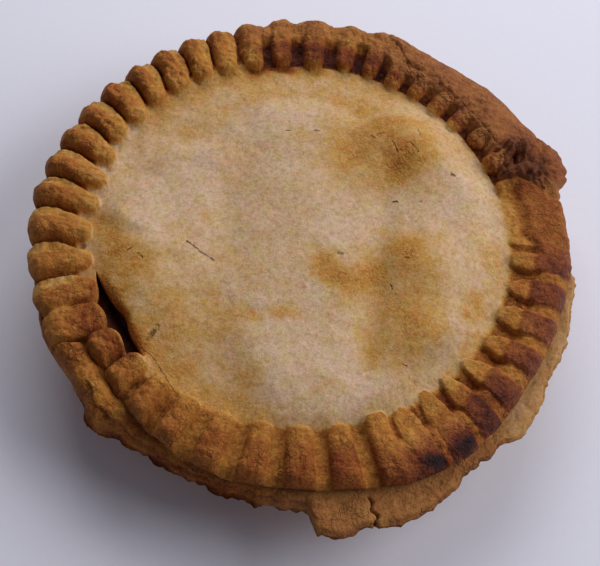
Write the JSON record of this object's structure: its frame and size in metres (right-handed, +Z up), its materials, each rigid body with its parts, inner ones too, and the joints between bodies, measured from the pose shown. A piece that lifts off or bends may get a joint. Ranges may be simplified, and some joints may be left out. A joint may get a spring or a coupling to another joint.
{
  "type": "meat and potato pie",
  "caption": "Round shortcrust pie without its tin: slanted case, crimped rim with a broken flap, domed lid with a steam split that shows the filling.",
  "frame": {"origin": "centre of the flat underside of the case", "axes": "+Z up through the lid; the steam split lies towards -X and the broken flap of the rim towards -Y"},
  "size_m": [0.2029, 0.2111, 0.0436],
  "materials": {
    "case_pastry": "baked shortcrust, golden brown, matte with a fine crumb",
    "meat_and_potato": "moist brown minced meat and potato, slightly glossy",
    "lid_pastry": "pale baked shortcrust, golden in patches, crimps browned to burnt, matte"
  },
  "bodies": {
    "root": {"case": "case_pastry", "filling": "meat_and_potato", "lid": "lid_pastry"}
  },
  "joints": []
}
